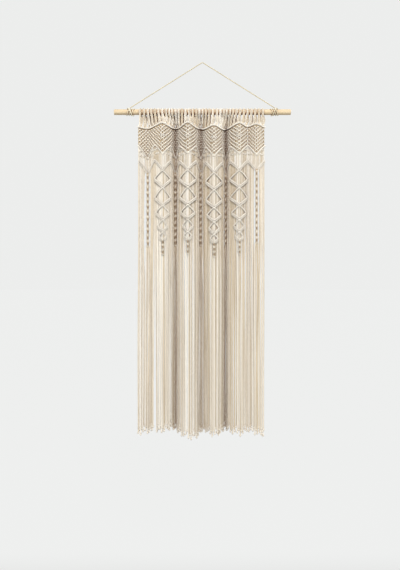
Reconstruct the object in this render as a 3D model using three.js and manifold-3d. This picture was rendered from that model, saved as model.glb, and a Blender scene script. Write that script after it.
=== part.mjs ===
// Macrame curtain on a wooden dowel, hung from one point by a cord tied to both ends of the dowel.
// Millimetres, +Z up, +X to the viewer's right, the curtain's face towards -Y.
// The origin is the hang point, under the bend of the hanging cord.
import * as THREE from 'three';
import Module from 'manifold-3d';

const wasm = await Module();
wasm.setup();

// The dowel, and how far its axis lies below the hang point
const dowel = { radius: 14, length: 900, chamfer: 1.5, sides: 24, below: 250 };

// The hanging cord, its bend over the hook, and the hitch that ties it to each end of the dowel
const hangingCord = { radius: 2, bend: 10, sides: 8, steps: 40 };
const hitch = { x: 369, turns: 3, pitch: 13, cord: 4.6, inner: 14.8, sides: 16 };
const hitchGap = 0.3;

// One turn of a hitch: how much of the cord's thickness the groove beside it is deep, and where
// its crest starts and ends as shares of the pitch
const hitchTurn = { groove: 0.55, crestFrom: 0.28, crestTo: 0.72 };

// The cotton cord of the knotwork. Each column of it takes 4 heading loops, whose legs are 16
// strands. parting sets the two middle ones apart, as a share of the column's half width.
const strandSide = 4.5;
const strandsPerColumn = 16;
const loopsPerColumn = 4;
const parting = 0.018;

// The curtain seen from above: a row for each edge and each middle of its nine knotted columns,
// in the order in which they hang. x and y place the row, loop is the length from the dowel's axis
// to the header bar, and hem is how far the strands there end below the dowel's axis.
const plan = [
  { is: 'edge', x: -326, y: -26, loop: 86, hem: 1624 },
  { is: 'spiral', x: -277, y: -2, loop: 84, hem: 1622 },
  { is: 'edge', x: -240, y: -28, loop: 83, hem: 1606 },
  { is: 'diamond', x: -201, y: -47, loop: 82, hem: 1604 },
  { is: 'edge', x: -164, y: -14, loop: 81, hem: 1596 },
  { is: 'spiral', x: -137, y: 26, loop: 82, hem: 1612 },
  { is: 'edge', x: -112, y: -10, loop: 81, hem: 1622 },
  { is: 'diamond', x: -74, y: -48, loop: 80, hem: 1640 },
  { is: 'edge', x: -35, y: -10, loop: 81, hem: 1644 },
  { is: 'spiral', x: -8, y: 28, loop: 83, hem: 1618 },
  { is: 'edge', x: 20, y: -10, loop: 86, hem: 1612 },
  { is: 'diamond', x: 58, y: -47, loop: 91, hem: 1630 },
  { is: 'edge', x: 97, y: -10, loop: 89, hem: 1618 },
  { is: 'spiral', x: 120, y: 28, loop: 86, hem: 1604 },
  { is: 'edge', x: 143, y: -10, loop: 82, hem: 1614 },
  { is: 'diamond', x: 185, y: -45, loop: 80, hem: 1624 },
  { is: 'edge', x: 229, y: -14, loop: 79, hem: 1608 },
  { is: 'spiral', x: 272, y: -34, loop: 77, hem: 1622 },
  { is: 'edge', x: 315, y: -8, loop: 80, hem: 1634 },
];

// How far the strands lean sideways from root to hem, at the left and the right of each column,
// and the shallow wave in which their ends swing to and from the viewer
const lean = [
  { left: -2, right: -8 },
  { left: 8, right: 2 },
  { left: 2, right: -3 },
  { left: -3, right: 3 },
  { left: 3, right: 4 },
  { left: 4, right: -3 },
  { left: -3, right: -5 },
  { left: -2, right: 4 },
  { left: 4, right: -1 },
];
const sway = { depth: 2.5, wave: 40 };

// Places across a column where the cloth is creased, as shares of its half width. No run between
// two creases is shorter than shortestRun, and longestMitre is how many times further than on a
// flat cloth a surface may stand out at a sharp crease.
const creases = [0, 0.3, 0.65, 1];
const shortestRun = 0.03;
const longestMitre = 2;

// The two zigzag rows of diagonal knots below the header bar: how far each lies below the bar
// at the middle of a column and at its edges. The lower one is the double row that starts each
// column: it stops just short of the column's edges, and the strands start inside it.
const leafRow = { middle: 157, edge: 106 };
const yokeRow = { middle: 229, edge: 167 };
const yokeReach = 0.985;
const strandTuck = 7.5;

// The knotted panel from top to bottom: a row of its surface at each level, which lies at a share
// of the way from the header bar to a zigzag row, plus a distance down. front and back are how far
// the surface stands out on each side, and crown how much further at the middle of a column.
const barTop = 4.5;
const panelGap = 0.8;
const hemSlope = 4;
const panelRows = [
  { name: 'bar top', line: leafRow, share: 0, plus: -barTop, front: 4.9, back: 4.9, crown: 0 },
  { name: 'bar foot', line: leafRow, share: 0, plus: 4, front: 4.6, back: 4.6, crown: 0 },
  { name: 'bar groove', line: leafRow, share: 0, plus: 6, front: 2.2, crown: 0 },
  { name: 'leaf top', line: leafRow, share: 0.2, plus: 0, front: 3, crown: 1.6 },
  { name: 'leaf belly', line: leafRow, share: 0.6, plus: 0, front: 3.2, crown: 1.6 },
  { name: 'leaf rim', line: leafRow, share: 1, plus: -7, front: 2.4, crown: 0 },
  { name: 'leaf row', line: leafRow, share: 1, plus: 0, front: 5, crown: 0 },
  { name: 'gap top', line: leafRow, share: 1, plus: 7, front: 2.2, back: 2.2, crown: 0 },
  { name: 'gap foot', line: leafRow, share: 1, plus: 23, front: 2.2, back: 2.2, crown: 0 },
  { name: 'hem', line: yokeRow, share: 1, plus: -panelGap, front: 2.2, back: 2.2, crown: 0 },
];

// The gap under the point of each leaf reaches from the column's middle to this crease
const gapReach = 0.3;

// Heading loops: two cords side by side over the dowel, both legs knotted into the header bar.
// Their tops are spread evenly along the dowel between the two ends of loopSpan, and evenness is
// how far each loop follows that rather than its place on the bar.
const loop = { width: 9.6, thick: 4.2, gap: 0.4, arcs: 4, evenness: 0.7 };
const loopFoot = { width: 7, thick: 3, apart: 3.3, sunk: 2.5 };
const loopSpan = { left: -318, right: 307 };

// Sections of the knotted bars: rise is up from the row's own line, out is towards the viewer
const doubleBar = [
  { rise: 0, out: 2.3 },
  { rise: -3.8, out: 5.2 },
  { rise: -7.5, out: 3.2 },
  { rise: -11.2, out: 5.2 },
  { rise: -15, out: 2.3 },
  { rise: -7.5, out: -3.6 },
];
const singleRidge = [
  { rise: 4.4, out: 2.9 },
  { rise: 0, out: 7 },
  { rise: -4.4, out: 2.9 },
];
const doubleRidge = [
  { rise: 3.4, out: 2.9 },
  { rise: 0, out: 6.8 },
  { rise: -3.6, out: 4.2 },
  { rise: -7.2, out: 6.8 },
  { rise: -10.6, out: 2.9 },
];

// The five knotted diamonds down a column: half is their half width as a share of the column's,
// middle and foot are how far their widest and lowest points lie below the header bar
const diamonds = [
  { half: 0.96, middle: 278, foot: 318 },
  { half: 0.9, middle: 372, foot: 408 },
  { half: 0.74, middle: 449, foot: 480 },
  { half: 0.48, middle: 517, foot: 541 },
  { half: 0.33, middle: 569, foot: 588 },
];
const diamondTop = 240;
const diamondStep = 8;

// How deep the lower rows of a diamond sink in between the two middle cords
const rowSunk = 2.4;

// The twisted tail below the last diamond, in front of the middle cords
const tail = { width: 12, thick: 8, foot: 662, halfTurns: 3, steps: 9, forward: 9 };

// The spiral of half knots down the middle of the other columns
const spiral = { width: 16, thick: 9, top: 236, foot: 604, halfTurns: 12, steps: 26 };

// The four middle cords of a spiral: how many lie on each side, how far apart they leave its
// foot, how far up inside it they start, and how far below it they hang freely again
const spiralCords = { eachSide: 2, apart: 4.7, inside: 4, free: 70 };

// The knot at the end of every strand
const endKnot = { swell: 1.4, height: 13, stagger: 11, unevenness: 10, rhythm: 0.9 };

const cotton = new THREE.MeshStandardMaterial({ color: '#e9dfca', roughness: 0.92, metalness: 0 });
const paleWood = new THREE.MeshStandardMaterial({ color: '#e0c594', roughness: 0.62, metalness: 0 });
const twine = new THREE.MeshStandardMaterial({ color: '#d6cba9', roughness: 0.85, metalness: 0 });

const dowelAxis = -dowel.below;

function mix(a, b, t) {
  return a + (b - a) * t;
}

function zigzag(row, f) {
  return mix(row.middle, row.edge, Math.abs(f));
}

// The triangles of a flat outline, each turned the way the outline runs
function capFaces(outline) {
  const runs = Math.sign(THREE.ShapeUtils.area(outline));
  return THREE.ShapeUtils.triangulateShape(outline, []).map(([a, b, c]) => {
    const turn = Math.sign(THREE.ShapeUtils.area([outline[a], outline[b], outline[c]]));
    return turn === runs ? [a, b, c] : [a, c, b];
  });
}

// A closed body through rings of equally many points, with a flat cap on the first and the last.
// A last ring of one point closes the body in a tip.
function loft(rings, outline) {
  const sides = rings[0].length;
  const tipped = rings[rings.length - 1].length === 1;
  const caps = capFaces(outline);
  const points = rings.flat();
  const faces = [];
  const wholeRings = tipped ? rings.length - 1 : rings.length;
  for (let r = 0; r + 1 < wholeRings; r++) {
    for (let i = 0; i < sides; i++) {
      const a = r * sides + i;
      const b = r * sides + ((i + 1) % sides);
      faces.push([a, b, b + sides], [a, b + sides, a + sides]);
    }
  }
  const last = (wholeRings - 1) * sides;
  for (const [a, b, c] of caps) {
    faces.push([a, c, b]);
    if (!tipped) faces.push([last + a, last + b, last + c]);
  }
  if (tipped) {
    for (let i = 0; i < sides; i++) {
      faces.push([last + i, last + ((i + 1) % sides), points.length - 1]);
    }
  }
  return closedBody(points, faces);
}

function enclosedVolume(points, faces) {
  let volume = 0;
  for (const [a, b, c] of faces) {
    volume += points[a].dot(points[b].clone().cross(points[c])) / 6;
  }
  return volume;
}

// A manifold solid from points and faces, turned so that its faces point out
function closedBody(points, faces) {
  const flip = enclosedVolume(points, faces) < 0;
  const vertProperties = new Float32Array(points.flatMap((p) => [p.x, p.y, p.z]));
  const triVerts = new Uint32Array(faces.flatMap(([a, b, c]) => (flip ? [a, c, b] : [a, b, c])));
  return new wasm.Manifold(new wasm.Mesh({ numProp: 3, vertProperties, triVerts }));
}

function join(solids) {
  return solids.reduce((whole, piece) => whole.add(piece));
}

// The cloth seen from above as one line of straight runs between creases.
// along is the distance over the cloth from its left edge.
function layCreases() {
  const points = plan.map(({ x, y }) => new THREE.Vector3(x, y, 0));
  const line = new THREE.CatmullRomCurve3(points, false, 'centripetal');
  const perRow = 40;
  line.arcLengthDivisions = perRow * (plan.length - 1);
  const lengths = line.getLengths();
  const rowAlong = plan.map((row, i) => lengths[i * perRow]);
  const total = lengths[lengths.length - 1];
  const laid = [];
  for (let i = 1; i < plan.length; i += 2) {
    const shares = [...creases.map((c) => -c).reverse(), ...creases.slice(1)];
    for (const share of shares) {
      if (share === -1 && laid.length > 0) continue;
      const neighbour = share < 0 ? i - 1 : i + 1;
      const t = Math.abs(share);
      const along = mix(rowAlong[i], rowAlong[neighbour], t);
      const at = line.getPointAt(Math.min(along / total, 1));
      const loopHere = mix(plan[i].loop, plan[neighbour].loop, t);
      const hemHere = mix(plan[i].hem, plan[neighbour].hem, t);
      laid.push({ along, x: at.x, y: at.y, loop: loopHere, hem: hemHere });
    }
  }
  return { laid: withNormals(laid), rowAlong };
}

// The direction towards the viewer's side at each crease, lengthened so that a line drawn
// at one distance in front of the cloth stays parallel to it
function withNormals(laid) {
  return laid.map((here, i) => {
    const before = laid[Math.max(i - 1, 0)];
    const after = laid[Math.min(i + 1, laid.length - 1)];
    const into = new THREE.Vector2(here.x - before.x, here.y - before.y).normalize();
    const out = new THREE.Vector2(after.x - here.x, after.y - here.y).normalize();
    const run = into.clone().add(out).normalize();
    const stretch = Math.min(1 / run.dot(into.lengthSq() > 0 ? into : out), longestMitre);
    return { ...here, nx: run.y * stretch, ny: -run.x * stretch };
  });
}

const { laid: cloth, rowAlong } = layCreases();

function clothAt(along) {
  let i = cloth.findIndex((c) => c.along >= along);
  i = i < 1 ? (i === 0 ? 1 : cloth.length - 1) : i;
  const a = cloth[i - 1];
  const b = cloth[i];
  const t = (along - a.along) / (b.along - a.along);
  const here = {};
  for (const key of ['x', 'y', 'nx', 'ny', 'loop', 'hem']) here[key] = mix(a[key], b[key], t);
  here.bar = dowelAxis - Math.sqrt(here.loop ** 2 - here.y ** 2);
  return here;
}

// The nine columns: their middle, and their half widths over the cloth
const columns = [];
for (let i = 1; i < plan.length; i += 2) {
  columns.push({
    kind: plan[i].is,
    index: columns.length,
    middle: rowAlong[i],
    leftHalf: rowAlong[i] - rowAlong[i - 1],
    rightHalf: rowAlong[i + 1] - rowAlong[i],
  });
}

// f runs from -1 at a column's left edge over 0 at its middle to 1 at its right edge
function alongOf(column, f) {
  return column.middle + f * (f < 0 ? column.leftHalf : column.rightHalf);
}

function pointAt(column, f, height, out) {
  const here = clothAt(alongOf(column, f));
  return new THREE.Vector3(here.x + out * here.nx, here.y + out * here.ny, height);
}

function barHeight(column, f) {
  return clothAt(alongOf(column, f)).bar;
}

function creaseShares(reach) {
  const inner = creases.filter((c) => c < reach - shortestRun);
  const right = [...inner, reach];
  return [...right.slice(1).map((c) => -c).reverse(), ...right];
}

// A knotted row across a column, out to a share of its half width on both sides.
// At the middle its back sinks in between the two middle cords by the depth given.
function knottedRow(column, reach, section, heightAt, sunk = 0) {
  const outline = section.map(({ rise, out }) => new THREE.Vector2(out, rise));
  const back = Math.min(...section.map(({ out }) => out));
  const rings = creaseShares(reach).map((f) => section.map(({ rise, out }) => {
    const held = f === 0 && out === back ? sunk : 0;
    return pointAt(column, f, heightAt(f) + rise, out - held);
  }));
  return loft(rings, outline);
}

// A strand with three sides and a flat face to the viewer, through places on its way down
const strandRadius = strandSide / Math.sqrt(3);

function strandRing({ x, y, z, nx, ny }, radius) {
  const facing = Math.atan2(ny, nx);
  return [1, 3, 5].map((third) => {
    const angle = facing + (third * Math.PI) / 3;
    return new THREE.Vector3(x + radius * Math.cos(angle), y + radius * Math.sin(angle), z);
  });
}

const triangle = [0, 1, 2].map((i) => {
  const angle = (i * 2 * Math.PI) / 3;
  return new THREE.Vector2(Math.cos(angle), Math.sin(angle));
});

function strand(column, k, stops) {
  const f = shareOf(k);
  const here = clothAt(alongOf(column, f));
  const leans = lean[column.index];
  const number = column.index * strandsPerColumn + k;
  const along = alongOf(column, f);
  const shift = {
    x: mix(leans.left, leans.right, (f + 1) / 2),
    y: sway.depth * Math.sin(along / sway.wave),
    gather: (k + 0.5 - strandsPerColumn / 2) * spiralCords.apart,
  };
  const turn = number % 2 === 0 ? endKnot.stagger : -endKnot.stagger;
  const ends = dowelAxis - here.hem - turn - endKnot.unevenness * Math.sin(number * endKnot.rhythm);
  const root = stops[0].z;
  const rings = stops.map(({ z, pull }) => {
    const t = (root - z) / (root - ends);
    return strandRing(pulled(column, here, z, pull, shift, t), strandRadius);
  });
  const neck = pulled(column, here, ends + endKnot.height, 0, shift, 1);
  const belly = { ...neck, z: ends + endKnot.height / 2 };
  rings.push(strandRing(neck, strandRadius));
  rings.push(strandRing(belly, strandRadius * endKnot.swell));
  rings.push([new THREE.Vector3(neck.x, neck.y, ends)]);
  return loft(rings, triangle);
}

// A strand's place at one height: pull 0 leaves it hanging, pull 1 draws it to the column's middle
function pulled(column, here, z, pull, shift, t) {
  const middle = clothAt(column.middle);
  const x = mix(here.x + shift.x * t, middle.x + shift.gather, pull);
  const y = mix(here.y + shift.y * t, middle.y, pull);
  return { x, y, z, nx: mix(here.nx, middle.nx, pull), ny: mix(here.ny, middle.ny, pull) };
}

function shareOf(k) {
  const even = (2 * k + 1 - strandsPerColumn) / strandsPerColumn;
  return mix(even, Math.sign(even), parting);
}

// A flat four-sided bundle of cords that turns about an upright axis as it goes down
function twistedKnots(axis, top, foot, { width, thick, halfTurns, steps }) {
  const corners = [[1, 1], [-1, 1], [-1, -1], [1, -1]];
  const outline = corners.map(([a, b]) => new THREE.Vector2((a * width) / 2, (b * thick) / 2));
  const rings = [];
  for (let i = 0; i <= steps; i++) {
    const turn = (i / steps) * halfTurns * Math.PI;
    rings.push(outline.map((corner) => {
      const place = corner.clone().rotateAround(new THREE.Vector2(), turn);
      return new THREE.Vector3(axis.x + place.x, axis.y + place.y, mix(top, foot, i / steps));
    }));
  }
  return loft(rings, outline);
}

// The strands of a column, from the double row that starts it down to the hem.
// The four middle ones are drawn together between the heights in knotted.
function columnStrands(column, knotted) {
  const strands = [];
  for (let k = 0; k < strandsPerColumn; k++) {
    const f = shareOf(k);
    const row = barHeight(column, f) - zigzag(yokeRow, f) - strandTuck;
    const isMiddle = Math.abs(k + 0.5 - strandsPerColumn / 2) < spiralCords.eachSide;
    const stops = isMiddle ? knotted(row) : [{ z: row, pull: 0 }];
    strands.push(strand(column, k, stops));
  }
  return strands;
}

// The double row that starts a column
function yoke(column) {
  return knottedRow(column, yokeReach, doubleBar, (f) => barHeight(column, f) - zigzag(yokeRow, f));
}

// A column of five diamonds, one below the other, and the twisted tail they end in
function diamondColumn(column) {
  const bar = barHeight(column, 0);
  const solids = [yoke(column)];
  let top = bar - diamondTop;
  for (const { half, middle, foot } of diamonds) {
    const apex = top;
    const wide = bar - middle;
    const low = bar - foot;
    const upper = (f) => mix(apex, wide, Math.abs(f) / half);
    const lower = (f) => mix(low, wide, Math.abs(f) / half);
    solids.push(knottedRow(column, half, singleRidge, upper));
    solids.push(knottedRow(column, half, doubleRidge, lower, rowSunk));
    top = low - diamondStep;
  }
  const axis = pointAt(column, 0, 0, tail.forward);
  solids.push(twistedKnots(axis, top + diamondStep, bar - tail.foot, tail));
  solids.push(...columnStrands(column, (root) => [{ z: root, pull: 0 }]));
  return join(solids);
}

// A column with one long spiral of half knots down its middle, which holds the four middle cords
function spiralColumn(column) {
  const bar = barHeight(column, 0);
  const foot = bar - spiral.foot;
  const axis = clothAt(column.middle);
  const solids = [yoke(column), twistedKnots(axis, bar - spiral.top, foot, spiral)];
  const knotted = () => [
    { z: foot + spiralCords.inside, pull: 1 },
    { z: foot - spiralCords.free, pull: 0 },
  ];
  solids.push(...columnStrands(column, knotted));
  return join(solids);
}

// The knotted panel: a sheet that follows the creases, raised at the header bar, over the leaves
// and along the upper zigzag row, with a gap through it under the point of each leaf
function panelSheet() {
  const stations = cloth.map(({ along }) => {
    const column = columns.find((c) => along < c.middle + c.rightHalf + shortestRun);
    const offset = along - column.middle;
    return { column, f: offset / (offset < 0 ? column.leftHalf : column.rightHalf) };
  });
  const heightOf = ({ line, share, plus }, column, f) => {
    return barHeight(column, f) - share * zigzag(line, f) - plus;
  };
  const points = [];
  const front = stations.map(({ column, f }) => panelRows.map((row) => {
    const out = row.front + row.crown * (1 - f * f);
    return points.push(pointAt(column, f, heightOf(row, column, f), out)) - 1;
  }));
  const backRows = panelRows.map((row, r) => r).filter((r) => panelRows[r].back !== undefined);
  const back = stations.map(({ column, f }) => backRows.map((r) => {
    const row = panelRows[r];
    const up = row.name === 'hem' ? hemSlope : 0;
    return points.push(pointAt(column, f, heightOf(row, column, f) + up, -row.back)) - 1;
  }));
  const gapTop = panelRows.findIndex((row) => row.name === 'gap top');
  const faces = [];
  const quad = (a, b, c, d) => faces.push([a, b, c], [a, c, d]);
  const isGap = (s, r) => {
    const outer = Math.max(Math.abs(stations[s].f), Math.abs(stations[s + 1].f));
    return r === gapTop && outer < gapReach + shortestRun;
  };
  for (let s = 0; s + 1 < stations.length; s++) {
    for (let r = 0; r + 1 < panelRows.length; r++) {
      if (isGap(s, r)) continue;
      quad(front[s][r], front[s][r + 1], front[s + 1][r + 1], front[s + 1][r]);
    }
    for (let b = 0; b + 1 < backRows.length; b++) {
      if (isGap(s, backRows[b])) continue;
      quad(back[s][b], back[s + 1][b], back[s + 1][b + 1], back[s][b + 1]);
    }
    const hem = { front: panelRows.length - 1, back: backRows.length - 1 };
    quad(front[s][0], front[s + 1][0], back[s + 1][0], back[s][0]);
    quad(front[s][hem.front], back[s][hem.back], back[s + 1][hem.back], front[s + 1][hem.front]);
    if (isGap(s, gapTop)) {
      const b = backRows.indexOf(gapTop);
      const corners = [[s, 0], [s, 1], [s + 1, 1], [s + 1, 0]];
      corners.forEach(([i, j], n) => {
        const [p, q] = corners[(n + 1) % corners.length];
        quad(front[i][gapTop + j], front[p][gapTop + q], back[p][b + q], back[i][b + j]);
      });
    }
  }
  for (const s of [0, stations.length - 1]) {
    const rim = [...front[s], ...[...back[s]].reverse()];
    const { nx, ny } = cloth[s];
    const flat = rim.map((p) => {
      const place = points[p];
      return new THREE.Vector2((place.x - cloth[s].x) * nx + (place.y - cloth[s].y) * ny, place.z);
    });
    for (const [a, b, c] of capFaces(flat)) {
      faces.push(s === 0 ? [rim[a], rim[c], rim[b]] : [rim[a], rim[b], rim[c]]);
    }
  }
  return closedBody(points, faces);
}

// One heading loop: up from the header bar, over the dowel and back down to the bar
function headingLoop(column, f, topX) {
  const foot = clothAt(alongOf(column, f));
  const footAt = new THREE.Vector2(foot.y, foot.bar + barTop - loopFoot.sunk - dowelAxis);
  const distance = footAt.length();
  const towards = footAt.angle();
  const inner = dowel.radius + loop.gap;
  const around = 2 * Math.PI - 2 * Math.acos((inner + loop.thick / 2) / distance);
  const stepHalf = around / loop.arcs / 2;
  const vertexRadius = inner / Math.cos(stepHalf) + loop.thick / 2;
  const reach = Math.acos(vertexRadius / distance);
  const bandX = mix(foot.x, topX, loop.evenness);
  const rings = [];
  const corners = [[0, -1], [1, 1], [-1, 1]];
  const outline = corners.map(([a, b]) => new THREE.Vector2(a, b));
  const ring = (x, y, z, normal, { width, thick }) => rings.push(corners.map(([a, b]) => {
    const place = normal.clone().multiplyScalar((b * thick) / 2);
    return new THREE.Vector3(x + (a * width) / 2, y + place.x, dowelAxis + z + place.y);
  }));
  const start = towards + reach;
  const sweep = 2 * Math.PI - 2 * reach;
  const across = new THREE.Vector2(Math.cos(towards + Math.PI / 2), Math.sin(towards + Math.PI / 2));
  const legFoot = (side) => footAt.clone().addScaledVector(across, (side * loopFoot.apart) / 2);
  const firstFoot = legFoot(1);
  const lastFoot = legFoot(-1);
  ring(foot.x, firstFoot.x, firstFoot.y, across, loopFoot);
  for (let i = 0; i <= loop.arcs; i++) {
    const angle = start + (sweep * i) / loop.arcs;
    const normal = new THREE.Vector2(Math.cos(angle), Math.sin(angle));
    ring(bandX, normal.x * vertexRadius, normal.y * vertexRadius, normal, loop);
  }
  ring(foot.x, lastFoot.x, lastFoot.y, across.negate(), loopFoot);
  return loft(rings, outline);
}

function knottedPanel() {
  const solids = [panelSheet()];
  const count = columns.length * loopsPerColumn;
  for (let i = 0; i < count; i++) {
    const column = columns[Math.floor(i / loopsPerColumn)];
    const f = (2 * (i % loopsPerColumn) + 1 - loopsPerColumn) / loopsPerColumn;
    solids.push(headingLoop(column, f, mix(loopSpan.left, loopSpan.right, i / (count - 1))));
  }
  return join(solids);
}

function geometryOf(solid) {
  const mesh = solid.getMesh();
  const places = new Float32Array(mesh.vertProperties);
  const geometry = new THREE.BufferGeometry();
  geometry.setAttribute('position', new THREE.BufferAttribute(places, 3));
  geometry.setIndex(new THREE.BufferAttribute(new Uint32Array(mesh.triVerts), 1));
  geometry.computeVertexNormals();
  return geometry;
}

// A round rod with a small chamfer at both ends, turned to lie along X
function dowelGeometry() {
  const half = dowel.length / 2;
  const flat = dowel.radius - dowel.chamfer;
  const profile = [[0, -half], [flat, -half], [dowel.radius, dowel.chamfer - half]];
  const mirrored = profile.map(([r, h]) => [r, -h]).reverse();
  const points = [...profile, ...mirrored].map(([r, h]) => new THREE.Vector2(r, h));
  return new THREE.LatheGeometry(points, dowel.sides).rotateZ(-Math.PI / 2);
}

// Turns of cord wound side by side round the dowel and drawn together into one band
const hitchOuter = hitch.inner + hitch.cord;

function hitchGeometry() {
  const half = (hitch.turns * hitch.pitch) / 2;
  const profile = [[hitch.inner, half], [hitch.inner, -half]];
  const valley = hitchOuter - hitch.cord * hitchTurn.groove;
  for (let turn = 0; turn < hitch.turns; turn++) {
    const start = turn * hitch.pitch - half;
    profile.push([valley, start]);
    profile.push([hitchOuter, start + hitch.pitch * hitchTurn.crestFrom]);
    profile.push([hitchOuter, start + hitch.pitch * hitchTurn.crestTo]);
  }
  profile.push([valley, half], [hitch.inner, half]);
  const points = profile.map(([r, h]) => new THREE.Vector2(r, h));
  return new THREE.LatheGeometry(points, hitch.sides).rotateZ(-Math.PI / 2);
}

// From the left hitch straight up to the hook, round it, and straight down to the right hitch
function hangingCordGeometry() {
  const foot = dowelAxis + hitchOuter + hitchGap + hangingCord.radius;
  const crest = hangingCord.radius;
  const slope = Math.atan2(crest - foot, hitch.x);
  const bendCentre = crest - hangingCord.bend;
  const side = hangingCord.bend * Math.sin(slope);
  const bendFoot = bendCentre + hangingCord.bend * Math.cos(slope);
  const corner = bendFoot + side * Math.tan(slope);
  const route = new THREE.CurvePath();
  const left = new THREE.Vector3(-side, 0, bendFoot);
  const right = new THREE.Vector3(side, 0, bendFoot);
  route.add(new THREE.LineCurve3(new THREE.Vector3(-hitch.x, 0, foot), left));
  route.add(new THREE.QuadraticBezierCurve3(left, new THREE.Vector3(0, 0, corner), right));
  route.add(new THREE.LineCurve3(right, new THREE.Vector3(hitch.x, 0, foot)));
  const section = new THREE.Shape();
  for (let i = 0; i < hangingCord.sides; i++) {
    const angle = (2 * Math.PI * i) / hangingCord.sides;
    const at = [hangingCord.radius * Math.cos(angle), hangingCord.radius * Math.sin(angle)];
    if (i === 0) section.moveTo(...at);
    else section.lineTo(...at);
  }
  section.closePath();
  return new THREE.ExtrudeGeometry(section, { steps: hangingCord.steps, extrudePath: route });
}

const curtain = new THREE.Group();

function addPiece(name, geometry, material) {
  const piece = new THREE.Mesh(geometry, material);
  piece.name = name;
  curtain.add(piece);
  return piece;
}

addPiece('dowel', dowelGeometry(), paleWood).position.z = dowelAxis;
addPiece('hanging_cord', hangingCordGeometry(), twine);
addPiece('hitch_left', hitchGeometry(), twine).position.set(-hitch.x, 0, dowelAxis);
addPiece('hitch_right', hitchGeometry(), twine).position.set(hitch.x, 0, dowelAxis);
addPiece('knotted_panel', geometryOf(knottedPanel()), cotton);
for (const column of columns) {
  const make = column.kind === 'diamond' ? diamondColumn : spiralColumn;
  addPiece(`${column.kind}_column_${column.index + 1}`, geometryOf(make(column)), cotton);
}

export default curtain;
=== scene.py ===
# Macrame curtain on a wooden dowel: cotton cords, knots and wood around the fixed frame.
# Metres, +Z up, +X to the viewer's right, the curtain's face towards -Y.
import math
import random

import bpy
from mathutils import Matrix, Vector


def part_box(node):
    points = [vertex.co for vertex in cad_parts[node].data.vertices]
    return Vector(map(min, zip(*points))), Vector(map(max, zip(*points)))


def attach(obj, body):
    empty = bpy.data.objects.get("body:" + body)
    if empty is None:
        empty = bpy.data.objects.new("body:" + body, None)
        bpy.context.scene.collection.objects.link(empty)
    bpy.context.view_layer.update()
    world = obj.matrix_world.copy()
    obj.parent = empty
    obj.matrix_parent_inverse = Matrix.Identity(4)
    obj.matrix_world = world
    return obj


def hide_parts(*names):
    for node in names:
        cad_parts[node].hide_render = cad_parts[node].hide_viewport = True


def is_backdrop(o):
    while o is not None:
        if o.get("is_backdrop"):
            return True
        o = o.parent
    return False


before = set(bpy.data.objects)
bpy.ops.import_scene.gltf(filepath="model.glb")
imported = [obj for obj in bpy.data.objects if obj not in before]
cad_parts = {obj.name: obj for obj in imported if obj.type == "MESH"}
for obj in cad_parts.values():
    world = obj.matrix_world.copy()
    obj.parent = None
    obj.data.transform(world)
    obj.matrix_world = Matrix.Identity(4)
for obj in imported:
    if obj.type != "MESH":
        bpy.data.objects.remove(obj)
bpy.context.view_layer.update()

chance = random.Random(11)
tau = 2 * math.pi
dowelTop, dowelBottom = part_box("dowel")[1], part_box("dowel")[0]
dowelAxis = (dowelTop[2] + dowelBottom[2]) / 2
dowelRadius = (dowelTop[2] - dowelBottom[2]) / 2

# The picture: 400 by 570, level and square to the curtain
picture = {"width": 400, "height": 570, "scale": 0.0051, "dowelX": 202.4, "dowelY": 112.2, "distance": 3.0}


def placeCamera():
    camera = bpy.data.objects.new("Camera", bpy.data.cameras.new("Camera"))
    bpy.context.scene.collection.objects.link(camera)
    bpy.context.scene.camera = camera
    tall = picture["height"] * picture["scale"]
    camera.data.sensor_fit = "VERTICAL"
    camera.data.lens = camera.data.sensor_height * picture["distance"] / tall
    across = (picture["width"] / 2 - picture["dowelX"]) * picture["scale"]
    up = dowelAxis - (picture["height"] / 2 - picture["dowelY"]) * picture["scale"]
    camera.location = (across, -picture["distance"], up)
    camera.rotation_euler = (math.pi / 2, 0, 0)
    camera.data.clip_end = 200


placeCamera()


# Adds a node to a shader or geometry tree, with its settings, its values and its links
def addNode(tree, kind, values=None, **settings):
    node = tree.nodes.new(kind)
    for name, value in settings.items():
        setattr(node, name, value)
    for key, value in (values or {}).items():
        socket = node.inputs[key]
        if isinstance(value, bpy.types.NodeSocket):
            tree.links.new(value, socket)
        else:
            socket.default_value = value
    return node


# sRGB hex to linear
def colour(code, alpha=1.0):
    parts = [int(code[i:i + 2], 16) / 255 for i in (1, 3, 5)]
    return (*[p / 12.92 if p <= 0.04045 else ((p + 0.055) / 1.055) ** 2.4 for p in parts], alpha)


def newMaterial(name):
    material = bpy.data.materials.new(name)
    material.use_nodes = True
    tree = material.node_tree
    tree.nodes.clear()
    surface = addNode(tree, "ShaderNodeBsdfPrincipled")
    addNode(tree, "ShaderNodeOutputMaterial", {"Surface": surface.outputs[0]})
    return material, tree, surface


def ramp(tree, factor, stops):
    node = addNode(tree, "ShaderNodeValToRGB", {"Fac": factor})
    band = node.color_ramp
    while len(band.elements) < len(stops):
        band.elements.new(0.5)
    for element, (position, code) in zip(band.elements, stops):
        element.position = position
        element.color = colour(code)
    return node.outputs["Color"]


def calc(tree, operation, first, second=0.0):
    return addNode(tree, "ShaderNodeMath", {0: first, 1: second}, operation=operation).outputs[0]


def multiplied(tree, under, over):
    values = {0: 1.0, 6: under, 7: over}
    return addNode(tree, "ShaderNodeMix", values, data_type="RGBA", blend_type="MULTIPLY").outputs[2]


# Painted shade: where little light comes in, deep in the folds and less in the gaps between cords, ambient
# occlusion darkens the cotton's colour towards a warm brown
paintedFoldAndGapShade = [{"reach": 0.12, "shut": 0.31, "open": 0.54, "shadeColour": "#7C5A38"},
             {"reach": 0.005, "shut": 0.10, "open": 0.45, "shadeColour": "#CFBB9B"}]


# Multiplies painted shade into a colour, as far as ambient occlusion within reach finds the place sheltered
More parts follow.
